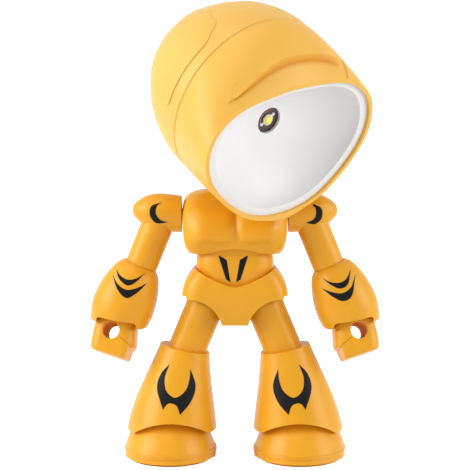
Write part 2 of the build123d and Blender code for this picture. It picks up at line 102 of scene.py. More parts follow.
def sight(place):
    """Direction from the camera through a place in the picture."""
    across = (place.x - FIGURE_MIDDLE_PX) * PIXEL_MM * MM
    rise = (PHOTO_WIDTH_PX / 2 - place.y) * PIXEL_MM * MM
    way = CAMERA_DISTANCE * TOWARDS_SCENE + across * Vector((1, 0, 0)) + rise * PICTURE_UP
    return way.normalized()


# Materials

def srgb(r, g, b):
    """Linear colour from 0-255 display values."""
    def channel(v):
        v = v / 255.0
        return v / 12.92 if v <= 0.04045 else ((v + 0.055) / 1.055) ** 2.4
    return (channel(r), channel(g), channel(b), 1.0)


def node_add(tree, kind, **values):
    """A shader node with input values set by name."""
    node = tree.nodes.new(kind)
    for key, value in values.items():
        node.inputs[key.replace("_", " ")].default_value = value
    return node


def plastic(name, light, deep, rough, coat=0.0, grain=0.02, mottle=38.0, glow=0.0):
    """Satin plastic: two close colours drifting slowly, with fine moulded grain."""
    mat = bpy.data.materials.new(name)
    mat.use_nodes = True
    tree = mat.node_tree
    shader = tree.nodes["Principled BSDF"]
    shader.inputs["Coat Weight"].default_value = coat
    shader.inputs["Coat Roughness"].default_value = COAT_ROUGHNESS
    shader.inputs["Subsurface Weight"].default_value = glow
    shader.inputs["Subsurface Scale"].default_value = GLOW_DEPTH
    shader.inputs["Subsurface Radius"].default_value = GLOW_REACH
    shader.inputs["Specular IOR Level"].default_value = GLOSS
    shader.inputs["IOR"].default_value = PLASTIC_IOR
    place = tree.nodes.new("ShaderNodeTexCoord")
    drift = node_add(tree, "ShaderNodeTexNoise", Scale=mottle, Detail=DRIFT_DETAIL)
    tree.links.new(place.outputs["Object"], drift.inputs["Vector"])
    ramp = tree.nodes.new("ShaderNodeValToRGB")
    ramp.color_ramp.elements[0].position = DRIFT_BAND[0]
    ramp.color_ramp.elements[0].color = deep
    ramp.color_ramp.elements[1].position = DRIFT_BAND[1]
    ramp.color_ramp.elements[1].color = light
    tree.links.new(drift.outputs["Fac"], ramp.inputs["Fac"])
    tree.links.new(ramp.outputs["Color"], shader.inputs["Base Color"])
    spread = tree.nodes.new("ShaderNodeMapRange")
    spread.inputs["To Min"].default_value = rough - ROUGHNESS_DRIFT
    spread.inputs["To Max"].default_value = rough + ROUGHNESS_DRIFT
    tree.links.new(drift.outputs["Fac"], spread.inputs["Value"])
    tree.links.new(spread.outputs["Result"], shader.inputs["Roughness"])
    fine = node_add(tree, "ShaderNodeTexNoise", Scale=GRAIN_SCALE, Detail=GRAIN_DETAIL)
    tree.links.new(place.outputs["Object"], fine.inputs["Vector"])
    bump = node_add(tree, "ShaderNodeBump", Strength=grain, Distance=GRAIN_DEPTH)
    tree.links.new(fine.outputs["Fac"], bump.inputs["Height"])
    tree.links.new(bump.outputs["Normal"], shader.inputs["Normal"])
    return mat


def metal(name, light, deep, rough):
    """Turned metal with fine streaks."""
    mat = plastic(name, light, deep, rough, grain=0.05, mottle=400.0)
    mat.node_tree.nodes["Principled BSDF"].inputs["Metallic"].default_value = 1.0
    return mat


def with_gloss(mat, gloss):
    """The material with its own share of gloss."""
    mat.node_tree.nodes["Principled BSDF"].inputs["Specular IOR Level"].default_value = gloss
    return mat


def with_painted_shade(mat, deep):
    """Painted shade: the material drawn to a deeper colour by the mesh attribute named shade."""
    tree = mat.node_tree
    shader = tree.nodes["Principled BSDF"]
    mix = tree.nodes.new("ShaderNodeMix")
    mix.data_type = "RGBA"
    mix.inputs["B"].default_value = deep
    shade = tree.nodes.new("ShaderNodeAttribute")
    shade.attribute_name = "shade"
    tree.links.new(shader.inputs["Base Color"].links[0].from_socket, mix.inputs["A"])
    tree.links.new(shade.outputs["Fac"], mix.inputs["Factor"])
    tree.links.new(mix.outputs["Result"], shader.inputs["Base Color"])
    return mat


# Head plastic: the body's yellow painted paler and yellower as painted light for the top light and
# sheen on the head, the dome painted lighter still
FRONT_PAINTED_LIGHT_COLOURS = (srgb(237, 184, 80), srgb(233, 178, 72))
body_yellow = plastic("body_yellow", srgb(233, 168, 36), srgb(228, 161, 28), 0.37, glow=0.2)
front_yellow_painted_light = plastic("front_yellow_painted_light", *FRONT_PAINTED_LIGHT_COLOURS, 0.46, coat=0.1, glow=0.15)
dome_yellow_painted_light = plastic("dome_yellow_painted_light", srgb(235, 186, 90), srgb(231, 180, 82), 0.48, coat=0.1,
                      glow=0.15)
# Brow plastic: the front's colours with painted shade, deepening to dark orange under the ridge
# and in the crease
brow_yellow_painted_light_and_shade = with_painted_shade(plastic("brow_yellow_painted_light_and_shade", *FRONT_PAINTED_LIGHT_COLOURS, 0.46, coat=0.1, glow=0.15),
                       srgb(214, 142, 4))
bowl_white = plastic("bowl_white", srgb(230, 229, 228), srgb(226, 225, 225), 0.38, coat=0.1,
                     grain=0.008)
# Dark orange of the thumb creases, as painted shade
crease_painted_shade = plastic("crease_painted_shade", srgb(196, 112, 22), srgb(182, 100, 16), 0.6)
mark_black = with_gloss(plastic("mark_black", srgb(14, 12, 11), srgb(9, 8, 8), 0.55,
                                grain=0.05), 0.25)
steel = metal("steel", srgb(170, 170, 174), srgb(150, 150, 155), 0.3)
aluminium = metal("aluminium", srgb(205, 206, 208), srgb(188, 189, 192), 0.35)
board = plastic("board", srgb(66, 34, 28), srgb(30, 16, 14), 0.3, coat=0.3, mottle=700.0)
# Paler orange of the grip holes' walls, as painted light glowing in the hole
bore_painted_light = with_gloss(plastic("bore_painted_light", srgb(248, 176, 104), srgb(242, 166, 92), 0.8),
                         0.0)
rubber = plastic("rubber", srgb(206, 142, 44), srgb(196, 132, 38), 0.8, grain=0.15)
cell_wrap = plastic("cell_wrap", srgb(90, 112, 140), srgb(80, 100, 128), 0.4)
package_white = plastic("package_white", srgb(228, 226, 220), srgb(214, 212, 206), 0.4)
phosphor = plastic("phosphor", srgb(250, 236, 110), srgb(238, 214, 76), 0.15, coat=0.6,
                   mottle=2500.0)
solder = plastic("solder", srgb(244, 240, 236), srgb(222, 216, 212), 0.2, coat=0.5,
                 mottle=1800.0)
copper = metal("copper", srgb(176, 128, 98), srgb(142, 98, 74), 0.35)

SLOT_MATERIALS = {
    "yellow_plastic": body_yellow, "white_plastic": bowl_white, "steel": steel,
    "socket_steel": steel, "board": board, "emitter": package_white,
    "aluminium": aluminium, "cell_wrap": cell_wrap, "rubber_pad": rubber,
}
SLOT_OF = {s["node"]: s["material_slot"] for s in frame["record"]["subparts"]}
DOME_NODES = ("helmet_back", "side_panel_left", "side_panel_right", "power_button")

for node_name, obj in NODES.items():
    finish_mat = SLOT_MATERIALS[SLOT_OF[node_name]]
    # The dome and the front shell take the head plastics with painted light
    if node_name in DOME_NODES:
        finish_mat = dome_yellow_painted_light
    if node_name == "helmet_front":
        finish_mat = front_yellow_painted_light
    obj.data.materials.clear()
    obj.data.materials.append(finish_mat)
    for poly in obj.data.polygons:
        poly.material_index = 0


# Walls of the grip holes, painted a paler orange as painted light in the hole: the faces that look
# at one another across a hole

GRIP_HOLE = 8.8 * MM
GRIP_TOLERANCE = 0.2 * MM

for node_name in ("hand_left", "hand_right"):
    mesh = NODES[node_name].data
    mesh.materials.append(bore_painted_light)
    hand_tree = BVHTree.FromPolygons([v.co.copy() for v in mesh.vertices],
                                     [tuple(poly.vertices) for poly in mesh.polygons])
    for poly in mesh.polygons:
        start = poly.center + poly.normal * RAY_LIFT
        spot = hand_tree.ray_cast(start, poly.normal)[0]
        if spot is not None and abs((spot - start).length - GRIP_HOLE) < GRIP_TOLERANCE:
            poly.material_index = 1


# Smooth shading of the CAD faces, kept sharp at real edges

def smooth_group(angle):
    """Geometry nodes that weld the mesh and shade it smooth below an edge angle."""
    tree = bpy.data.node_groups.new("smooth_by_angle", "GeometryNodeTree")
    tree.interface.new_socket("Geometry", in_out="INPUT", socket_type="NodeSocketGeometry")
    tree.interface.new_socket("Geometry", in_out="OUTPUT", socket_type="NodeSocketGeometry")
    start = tree.nodes.new("NodeGroupInput")
    end = tree.nodes.new("NodeGroupOutput")
    weld = node_add(tree, "GeometryNodeMergeByDistance", Distance=WELD_REACH)
    edge = tree.nodes.new("GeometryNodeInputMeshEdgeAngle")
    sharp = tree.nodes.new("FunctionNodeCompare")
    sharp.data_type = "FLOAT"
    sharp.operation = "GREATER_THAN"
    sharp.inputs[1].default_value = radians(angle)
    mark = tree.nodes.new("GeometryNodeStoreNamedAttribute")
    mark.data_type = "BOOLEAN"
    mark.domain = "EDGE"
    mark.inputs["Name"].default_value = "sharp_edge"
    soften = tree.nodes.new("GeometryNodeSetShadeSmooth")
    soften.domain = "FACE"
    tree.links.new(start.outputs[0], weld.inputs["Geometry"])
    tree.links.new(weld.outputs["Geometry"], mark.inputs["Geometry"])
    tree.links.new(edge.outputs["Unsigned Angle"], sharp.inputs[0])
    tree.links.new(sharp.outputs["Result"], mark.inputs["Value"])
    tree.links.new(mark.outputs["Geometry"], soften.inputs["Geometry"])
    tree.links.new(soften.outputs["Geometry"], end.inputs[0])
    return tree


SMOOTH_TREE = smooth_group(SHARP_ABOVE_DEG)


def smooth(obj):
    """Shades an object smooth between its sharp edges."""
    smoother = obj.modifiers.new("smooth", "NODES")
    smoother.node_group = SMOOTH_TREE


for obj in NODES.values():
    smooth(obj)


# Helpers for the pieces that the scene adds

def new_object(name, places, faces, mats):
    """Mesh object in the scene with its materials."""
    mesh = bpy.data.meshes.new(name)
    mesh.from_pydata(places, [], faces)
    mesh.validate()
    for mat in mats:
        mesh.materials.append(mat)
    obj = bpy.data.objects.new(name, mesh)
    bpy.context.scene.collection.objects.link(obj)
    return obj


def new_piece(name, places, faces, mats, body):
    """Mesh object that rides on a body."""
    obj = new_object(name, places, faces, mats)
    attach(obj, body)
    return obj


def joint_of(name):
    """Place and axis of a joint in the record."""
    joint = next(j for j in frame["record"]["behaviour"]["joints"] if j["name"] == name)
    return Vector(joint["pos_m"]), Vector(joint["axis"]).normalized()


def smooth_step(value, width):
    """Soft step from 0 to 1 over a width."""
    share = min(max(value / width, 0.0), 1.0)
    return share * share * (3 - 2 * share)


def cubic(t, start, start_slope, end, end_slope):
    """Value between two ends that leaves and meets them at given slopes."""
    return ((2 * t ** 3 - 3 * t ** 2 + 1) * start + (t ** 3 - 2 * t ** 2 + t) * start_slope
            + (3 * t ** 2 - 2 * t ** 3) * end + (t ** 3 - t ** 2) * end_slope)


def smooth_path(points, count):
    """Evenly stepped places along a smooth curve through the points."""
    path = [Vector(p) for p in points]
    path = [2 * path[0] - path[1]] + path + [2 * path[-1] - path[-2]]
    spans = len(points) - 1
    places = []
    for i in range(count + 1):
        s = spans * i / count
        k = min(int(s), spans - 1)
        t = s - k
        a, b, c, d = path[k:k + 4]
        slope = (c - a) * t
        bend = (2 * a - 5 * b + 4 * c - d) * t ** 2
        twist = (3 * b - a - 3 * c + d) * t ** 3
        places.append(b + 0.5 * (slope + bend + twist))
    return places


def surface_of(nodes):
    """Search tree over the surfaces of some nodes."""
    corners, faces = [], []
    for node in nodes:
        mesh = NODES[node].data
        start = len(corners)
        corners += [v.co.copy() for v in mesh.vertices]
        faces += [tuple(start + i for i in p.vertices) for p in mesh.polygons]
    return BVHTree.FromPolygons(corners, faces)


# Printed marks, laid on the plastic along the lines of sight of the camera

def film(name, nodes, body, first, second, rows=6, rise=PRINT_THICKNESS, mat=mark_black):
    """Thin layer between two lists of picture places, laid on some nodes."""
    tree = surface_of(nodes)
    tops, bases = [], []
    for a, b in zip(first, second):
        for j in range(rows + 1):
            place = a.lerp(b, j / rows)
            way = sight(place)
            hit, normal = tree.ray_cast(CAMERA_PLACE, way)[:2]
            if hit is None:
                raise ValueError(f"{name} misses its surface at {place.x:.1f}, {place.y:.1f}")
            if normal.dot(way) > 0:
                normal = -normal
            tops.append(hit + normal * rise)
            bases.append(hit - normal * PRINT_THICKNESS)
    count = len(tops)
    wide = rows + 1
    steps = len(first) - 1
    faces = []
    for i in range(steps):
        for j in range(rows):
            a = i * wide + j
            faces.append((a, a + 1, a + wide + 1, a + wide))
            faces.append((count + a, count + a + wide, count + a + wide + 1, count + a + 1))
    rim = [i * wide for i in range(steps + 1)]
    rim += [steps * wide + j for j in range(1, wide)]
    rim += [i * wide + rows for i in range(steps - 1, -1, -1)]
    rim += [j for j in range(rows - 1, 0, -1)]
    for a, b in zip(rim, rim[1:] + rim[:1]):
        faces.append((a, b, count + b, count + a))
    obj = new_piece(name, tops + bases, faces, (mat,), body)
    weld = obj.modifiers.new("weld", "WELD")
    weld.merge_threshold = WELD_REACH


def crescent(name, nodes, body, outer_px, inner_px, count=40):
    """Crescent between two smooth curves that share their tips."""
    film(name, nodes, body, smooth_path(outer_px, count), smooth_path(inner_px, count))


# Outer and inner curve of each crescent, in pixels of the picture
SHOULDER_LEFT_PX = (
    ((161.0, 202.2), (150.4, 206.5), (149.4, 216.0), (156.0, 223.2), (167.0, 222.2)),
    ((161.0, 202.2), (156.2, 206.2), (155.0, 213.0), (159.2, 219.6), (167.0, 222.2)),
)
SHOULDER_RIGHT_PX = (
    ((313.4, 204.2), (320.6, 208.4), (321.0, 217.6), (314.4, 224.0), (305.0, 222.8)),
    ((311.8, 205.4), (314.8, 208.6), (315.0, 215.0), (312.0, 219.8), (305.0, 222.8)),
)
CUFF_UPPER_LEFT_PX = (
    ((115.6, 269.0), (118.2, 278.6), (126.4, 285.4), (134.6, 282.4), (144.6, 273.0)),
    ((115.6, 269.0), (119.2, 275.0), (126.6, 279.6), (135.6, 278.4), (144.6, 273.0)),
)
CUFF_LOWER_LEFT_PX = (
    ((111.8, 274.4), (116.4, 289.0), (125.4, 298.0), (136.2, 292.8), (146.6, 282.8)),
    ((111.8, 274.4), (117.4, 284.4), (126.0, 289.8), (136.6, 287.8), (146.6, 282.8)),
)
CUFF_UPPER_RIGHT_PX = (
    ((321.0, 277.8), (330.6, 285.2), (339.8, 288.6), (347.2, 283.8), (350.0, 268.8)),
    ((321.0, 277.8), (329.6, 282.0), (338.2, 282.8), (345.4, 279.0), (350.0, 268.8)),
)
CUFF_LOWER_RIGHT_PX = (
    ((321.0, 288.4), (333.0, 297.4), (343.0, 301.0), (351.4, 295.0), (354.6, 274.0)),
    ((321.0, 288.4), (331.0, 292.0), (341.0, 293.2), (350.0, 287.4), (354.6, 274.0)),
)

crescent("shoulder_mark_left", ("pauldron_left", "upper_arm_left"), "arm_left",
         *SHOULDER_LEFT_PX)
crescent("shoulder_mark_right", ("pauldron_right", "upper_arm_right"), "arm_right",
         *SHOULDER_RIGHT_PX)
crescent("cuff_mark_upper_left", ("gauntlet_left",), "forearm_left", *CUFF_UPPER_LEFT_PX)
crescent("cuff_mark_lower_left", ("gauntlet_left",), "forearm_left", *CUFF_LOWER_LEFT_PX)
crescent("cuff_mark_upper_right", ("gauntlet_right",), "forearm_right", *CUFF_UPPER_RIGHT_PX)
crescent("cuff_mark_lower_right", ("gauntlet_right",), "forearm_right", *CUFF_LOWER_RIGHT_PX)


# Horseshoe of the boots: x from the mark's middle towards the outer side, in pixels
HORN_OUT_PX = (8.0, 364.0)
HORN_IN_PX = (-12.6, 368.8)
FOOT_OUT_PX = (14.8, 410.0)
FOOT_IN_PX = (-2.2, 415.0)
OUTER_PX = (HORN_OUT_PX, (17.0, 374.0), (20.7, 389.0), FOOT_OUT_PX)
NOTCH_PX = (FOOT_OUT_PX, (11.0, 404.6), (6.6, 403.4), (0.8, 406.4), FOOT_IN_PX)
INNER_PX = (FOOT_IN_PX, (-13.0, 402.0), (-17.8, 386.0), HORN_IN_PX)
OPENING_PX = (HORN_OUT_PX, (13.0, 378.0), (11.4, 391.0), (2.6, 397.8), (-7.4, 391.0),
              (-11.6, 380.0), HORN_IN_PX)
BOOT_MIDDLE_LEFT_PX = 177.0
BOOT_MIDDLE_RIGHT_PX = 290.0


def horseshoe(name, nodes, body, middle, side, long=16, short=12):
    """Horseshoe with pointed ends and a round notch below, side -1 or 1."""
    def curve(places, count):
        return smooth_path([(middle + side * x, y) for x, y in places], count)
    rim = curve(OUTER_PX, long) + curve(NOTCH_PX, short)[1:] + curve(INNER_PX, long)[1:]
    film(name, nodes, body, rim, curve(OPENING_PX, len(rim) - 1))


horseshoe("boot_mark_left", ("boot_left",), "leg_left", BOOT_MIDDLE_LEFT_PX, -1)
horseshoe("boot_mark_right", ("boot_right",), "leg_right", BOOT_MIDDLE_RIGHT_PX, 1)

WEDGE_LEFT_PX = ((217.2, 254.6), (225.9, 260.0), (229.7, 282.3), (225.3, 279.5))
WEDGE_RIGHT_PX = ((247.8, 254.6), (239.1, 260.0), (235.3, 282.3), (239.7, 279.5))


def wedge(name, corners, count=12):
    """Four-cornered mark on the waist."""
    a, b, c, d = corners
    film(name, ("abdomen",), "hips", smooth_path((a, d), count), smooth_path((b, c), count))


wedge("waist_mark_left", WEDGE_LEFT_PX)
wedge("waist_mark_right", WEDGE_RIGHT_PX)


# Painted shade of the creases between thumb and fist, from the grip hole to the notch

CREASE_UPPER_PX = ((119.0, 336.4), (122.6, 339.4), (126.8, 343.0), (130.8, 346.6))
CREASE_LOWER_PX = ((118.4, 336.9), (122.1, 339.9), (126.3, 343.5), (130.3, 347.1))
CREASE_RISE = 0.3 * PRINT_THICKNESS

# Sum of the x of two mirrored places on the hands
HAND_MIRROR_PX = 469.8


def thumb_crease_shade(name, node, mirrored, count=20):
    """Painted shade of a fine crease on a hand, mirrored in the picture for the right one."""
    def curve(places):
        return smooth_path([(HAND_MIRROR_PX - x if mirrored else x, y) for x, y in places],
                           count)
    film(name, (node,), node, curve(CREASE_UPPER_PX), curve(CREASE_LOWER_PX), rows=1,
         rise=CREASE_RISE, mat=crease_painted_shade)


thumb_crease_shade("thumb_crease_left", "hand_left", False)
thumb_crease_shade("thumb_crease_right", "hand_right", True)


# Collar and washers in the gaps of the turning joints

SEAM_PLAY = 0.02 * MM
JOINT_GAP = 0.4 * MM
COLLAR_RISE = 3.9 * MM
COLLAR_HALF_WIDTH_MM = 18.9
COLLAR_HALF_DEPTH_MM = 12.9
COLLAR_CORNER_MM = 11.9
ELBOW_RADIUS_MM = 7.9


def gap_washer(name, joint, outline, body, span=(SEAM_PLAY, JOINT_GAP - SEAM_PLAY)):
    """Washer that fills a joint's gap, from outline points in mm across the joint's axis."""
    place, axis = joint_of(joint)
    side = Vector((0, 1, 0)).cross(axis).normalized()
    front = axis.cross(side)
    count = len(outline)
    places = []
    for height in span:
        for x, y in outline:
            places.append(place + (side * x + front * y) * MM + axis * height)
    faces = [tuple(range(count - 1, -1, -1)), tuple(range(count, 2 * count))]
    for i in range(count):
        j = (i + 1) % count
        faces.append((i, j, count + j, count + i))
    smooth(new_piece(name, places, faces, (body_yellow,), body))


def round_outline(radius, count=64):
    """Circle as outline points."""
    return [(radius * cos(2 * pi * i / count), radius * sin(2 * pi * i / count))
            for i in range(count)]


def oblong_outline(half_width, half_depth, corner, count=12):
    """Rounded rectangle as outline points."""
    points = []
    for k, (sx, sy) in enumerate(((1, 1), (-1, 1), (-1, -1), (1, -1))):
        for i in range(count + 1):
            turn = pi / 2 * (k + i / count)
            points.append((sx * (half_width - corner) + corner * cos(turn),
                           sy * (half_depth - corner) + corner * sin(turn)))
    return points


gap_washer("waist_collar", "waist_turn",
           oblong_outline(COLLAR_HALF_WIDTH_MM, COLLAR_HALF_DEPTH_MM, COLLAR_CORNER_MM),
           "chest", (SEAM_PLAY - JOINT_GAP, COLLAR_RISE))
for side in ("left", "right"):
    gap_washer("elbow_washer_" + side, "forearm_" + side, round_outline(ELBOW_RADIUS_MM),
               "forearm_" + side)


# Chest skin: two swells with a groove between them, faded out into the shell

GROOVE_X_MM = 0.5
GROOVE_REACH_MM = 2.4
GROOVE_POWER = 1.6
SWELL_MM = 2.0
SWELL_SIDE_MM = 24.5
SWELL_SIDE_FADE_MM = 10.0
SWELL_TOP_MM = 135.0
SWELL_TOP_FADE_MM = 8.0
SWELL_LOW_MM = 111.4
SWELL_LOW_FADE_MM = 4.0
SWELL_PEAK_MM = 1.8
SWELL_PEAK_REACH_MM = 1.6
SWELL_BEND = 0.008
SWELL_BEND_FROM_MM = 8.0
CHEST_RAY_START = -0.1


def chest_swell(x, z):
    """Height of the chest's swells over the shell, in mm."""
    side = abs(x - GROOVE_X_MM)
    inner = 1 - exp(-(side / GROOVE_REACH_MM) ** GROOVE_POWER)
    peak = SWELL_PEAK_MM * exp(-side / SWELL_PEAK_REACH_MM)
    bend = SWELL_BEND * max(side - SWELL_BEND_FROM_MM, 0.0) ** 2
    low = SWELL_LOW_MM + peak + bend
    return (SWELL_MM * inner * smooth_step(z - low, SWELL_LOW_FADE_MM)
            * smooth_step(SWELL_SIDE_MM - side, SWELL_SIDE_FADE_MM)
            * smooth_step(SWELL_TOP_MM - z, SWELL_TOP_FADE_MM))


def shell_depth(tree, x, z, bridge=9.0, step=1.5):
    """Depth of the chest's front at a place, bridged over the groove of the shell, in mm."""
    def hit(at):
        start = Vector((at * MM, CHEST_RAY_START, z * MM))
        spot = tree.ray_cast(start, Vector((0, 1, 0)))[0]
        return None if spot is None else spot.y / MM
    if abs(x) >= bridge:
        return hit(x)
    left, right = hit(-bridge), hit(bridge)
    left_out, right_out = hit(-bridge - step), hit(bridge + step)
    if None in (left, right, left_out, right_out):
        return None
    span = 2 * bridge
    left_slope = (left - left_out) / step * span
    right_slope = (right_out - right) / step * span
    return cubic((x + bridge) / span, left, left_slope, right, right_slope)


def chest_skin(half=23.5, low=109.9, high=134.0, step=0.5, sunk=0.15, proud=0.06,
               side_fade=5.0, low_fade=1.8):
    """Skin over the chest's front with the swells on it, sizes in mm."""
    tree = surface_of(("chest_front",))
    columns = int(2 * half / step) + 1
    rows = int((high - low) / step) + 1
    places, known = [], {}
    for r in range(rows):
        for c in range(columns):
            x = -half + c * step
            z = low + r * step
            depth = shell_depth(tree, x, z)
            if depth is None:
                continue
            side = smooth_step(min(half - abs(x), high - z), side_fade)
            fade = min(side, smooth_step(z - low, low_fade))
            rise = chest_swell(x, z) + (sunk + proud) * fade - sunk
            known[r, c] = len(places)
            places.append(Vector((x, depth - rise, z)) * MM)
    faces = []
    for r in range(rows - 1):
        for c in range(columns - 1):
            corners = ((r, c), (r, c + 1), (r + 1, c + 1), (r + 1, c))
            if all(corner in known for corner in corners):
                faces.append(tuple(known[corner] for corner in corners))
    smooth(new_piece("chest_skin", places, faces, (body_yellow,), "chest"))


chest_skin()


# Brow lip: carries the forehead on to the crease that the picture shows, with painted shade under
# the ridge

BROW_RIDGE_PX = ((221.0, 105.0), (236.0, 97.0), (250.0, 83.5), (265.0, 69.6), (280.0, 59.0),
                 (295.0, 54.4), (314.0, 52.4), (327.0, 53.8), (335.0, 57.4), (342.0, 63.0))
BROW_CREASE_PX = ((221.0, 105.6), (236.0, 98.0), (249.0, 88.0), (264.0, 77.0), (280.0, 68.0),
                  (297.0, 62.6), (315.0, 60.6), (328.0, 62.0), (337.0, 65.2), (343.0, 68.6))
ABOVE_RIDGE_PX = 18.0
BELOW_CREASE_PX = 6.0
BROW_STEPS = 64
ROWS_ABOVE = 12
ROWS_UNDER = 10
ROWS_BELOW = 8
CREASE_ROW = ROWS_ABOVE + ROWS_UNDER
BROW_ROWS = CREASE_ROW + ROWS_BELOW + 1
LIP_MM = 2.4
LIP_POWER = 1.4
BROW_SUNK_MM = 0.12
BROW_PROUD_MM = 0.06
# Share of painted shade at the ridge; it grows to full at the crease and fades out below it
RIDGE_PAINTED_SHADE = 0.35

# Along the brow: where the band's height would end, and shares over which values change
NARROW_END = 1.2
NARROW_SHARE = 0.6
LIP_SHARE = 0.3
LEFT_END_SHARE = 0.08
RIGHT_END_SHARE = 0.16

# Down to the ridge: shares over which the band leaves the shell and comes to the surface
LEAVE_SHARE = 0.25
SURFACE_SHARE = 0.35

# Steps by which a place off the shell is moved on to it
INWARD_STEP = 0.1
SHRINK = 0.9


def brow_columns():
    """Picture places and shell distances in mm, down the band at each step along the brow."""
    tree = surface_of(("helmet_front",))

    def distance(place):
        hit = tree.ray_cast(CAMERA_PLACE, sight(place))[0]
        return None if hit is None else (hit - CAMERA_PLACE).length / MM

    ridge = smooth_path(BROW_RIDGE_PX, BROW_STEPS)
    crease = smooth_path(BROW_CREASE_PX, BROW_STEPS)
    columns = []
    for i, (top, low) in enumerate(zip(ridge, crease)):
        while distance(top) is None:
            top = top.lerp(low, INWARD_STEP)
        tall = ABOVE_RIDGE_PX * smooth_step(NARROW_END - i / BROW_STEPS, NARROW_SHARE)
        while distance(top + Vector((0, -tall))) is None:
            tall *= SHRINK
        line = [top + Vector((0, -tall * (1 - j / ROWS_ABOVE))) for j in range(ROWS_ABOVE + 1)]
        line += [top.lerp(low, j / ROWS_UNDER) for j in range(1, ROWS_UNDER + 1)]
        line += [low + Vector((0, BELOW_CREASE_PX * j / ROWS_BELOW))
                 for j in range(1, ROWS_BELOW + 1)]
        columns.append((line, [distance(place) for place in line]))
    return columns


def brow_row(j, shells, ridge):
    """Distance, depth in the shell and share of painted shade of a row, by the ridge's distance.
    """
    if j <= ROWS_ABOVE:
        s = j / ROWS_ABOVE
        straight = min(shells[0] + (ridge - shells[0]) * s, shells[j])
        sunk = BROW_SUNK_MM - (BROW_SUNK_MM + BROW_PROUD_MM) * smooth_step(s, SURFACE_SHARE)
        return shells[j] + (straight - shells[j]) * smooth_step(s, LEAVE_SHARE), sunk, 0.0
    if j <= CREASE_ROW:
        s = (j - ROWS_ABOVE) / ROWS_UNDER
        under = min(ridge + (shells[CREASE_ROW] - ridge) * s ** LIP_POWER, shells[j])
        return under, -BROW_PROUD_MM, RIDGE_PAINTED_SHADE + (1 - RIDGE_PAINTED_SHADE) * s
    s = (j - CREASE_ROW) / ROWS_BELOW
    return shells[j], -BROW_PROUD_MM if j < BROW_ROWS - 1 else BROW_SUNK_MM, (1 - s) ** 2


def brow_lip():
    """Band from the forehead to a proud ridge, back under it to the crease and on down, with
    painted shade.
    """
    places, painted_shades = [], []
    for i, (line, shells) in enumerate(brow_columns()):
        share = i / BROW_STEPS
        lip = LIP_MM * smooth_step(share, LIP_SHARE) * smooth_step(1 - share, LIP_SHARE)
        ridge = min(shells[ROWS_ABOVE // 2:ROWS_ABOVE + 1]) - lip
        ends = 1 - (smooth_step(share, LEFT_END_SHARE)
                    * smooth_step(1 - share, RIGHT_END_SHARE))
        for j, place in enumerate(line):
            distance, sunk, painted_shade = brow_row(j, shells, ridge)
            sunk += (BROW_SUNK_MM - sunk) * ends
            painted_shades.append(painted_shade * (1 - ends))
            places.append(CAMERA_PLACE + sight(place) * (distance + sunk) * MM)
    faces = []
    for i in range(BROW_STEPS):
        for j in range(BROW_ROWS - 1):
            a = i * BROW_ROWS + j
            faces.append((a, a + 1, a + BROW_ROWS + 1, a + BROW_ROWS))
    obj = new_piece("brow_lip", places, faces, (brow_yellow_painted_light_and_shade,), "head")
    smooth(obj)
    obj.data.attributes.new("shade", "FLOAT", "POINT").data.foreach_set("value", painted_shades)


brow_lip()


# Welts round the feet, just above the soles

FOOT_X_MM = 33.3
FOOT_HALF_WIDTH_MM = 24.0
FOOT_HALF_DEPTH_MM = 28.0
FOOT_SUNK_MM = 1.5
WELT_HEIGHT_MM = 5.2
WELT_RADIUS_MM = 0.3


def foot_welt(name, middle_x, body, count=96, around=10):
    """Thin raised bead round a foot, whose dome has its middle a little under the floor."""
    share = (1 - ((WELT_HEIGHT_MM + FOOT_SUNK_MM) / FOOT_HALF_DEPTH_MM) ** 2) ** 0.5
    places = []
    for i in range(count):
        turn = 2 * pi * i / count
        out = Vector((cos(turn) / FOOT_HALF_WIDTH_MM, sin(turn) / FOOT_HALF_DEPTH_MM, 0))
        out.normalize()
        rim = Vector((middle_x + share * FOOT_HALF_WIDTH_MM * cos(turn),
                      SET_BACK_MM + share * FOOT_HALF_DEPTH_MM * sin(turn), WELT_HEIGHT_MM))
        for j in range(around):
            roll = 2 * pi * j / around
            spot = out * cos(roll) + Vector((0, 0, 1)) * sin(roll)
            places.append((rim + spot * WELT_RADIUS_MM) * MM)
    faces = []
    for i in range(count):
        for j in range(around):
            a = i * around + j
            b = i * around + (j + 1) % around
            c = (i + 1) % count * around
            faces.append((a, c + j, c + (j + 1) % around, b))
    smooth(new_piece(name, places, faces, (body_yellow,), body))


foot_welt("foot_welt_left", -FOOT_X_MM, "foot_left")
foot_welt("foot_welt_right", FOOT_X_MM, "foot_right")


# LED package: round base with a yellow lens and two soldered legs, beside board traces

LEG_TURN = radians(42.0)
BASE_MM = ((2.5, 0.0), (2.9, 0.1), (2.9, 0.8), (2.7, 1.0), (2.4, 1.05), (2.35, 0.9))
BLOB_MM = ((0.95, 0.0), (0.85, 0.3), (0.6, 0.5), (0.2, 0.6))
LENS_RADIUS_MM = 2.35
LENS_LOW_MM = 0.85
LENS_RISE_MM = 1.2
LENS_STEP = pi / 18
LENS_STEPS = 9
LEG_START_MM = 2.4
LEG_END_MM = 4.0
LEG_HALF_WIDTH_MM = 0.5
LEG_HEIGHT_MM = 0.35
LEG_BEVEL = 0.25
LED_MATS = (package_white, phosphor, solder)
FRONT_FACING = -0.3
SAME_PLANE = 0.999


def board_face(node):
    """Centre, outward normal and two in-plane axes of the board's front face."""
    mesh = NODES[node].data
    faces = [p for p in mesh.polygons if p.normal.dot(TOWARDS_SCENE) < FRONT_FACING]
    widest = max(faces, key=lambda p: p.area)
    flat = [p for p in faces if p.normal.dot(widest.normal) > SAME_PLANE]
    corners = {i for p in flat for i in p.vertices}
    centre = sum((mesh.vertices[i].co for i in corners), Vector()) / len(corners)
    normal = widest.normal.normalized()
    across = Vector((0, 0, 1)).cross(normal).normalized()
    return centre, normal, across, normal.cross(across)


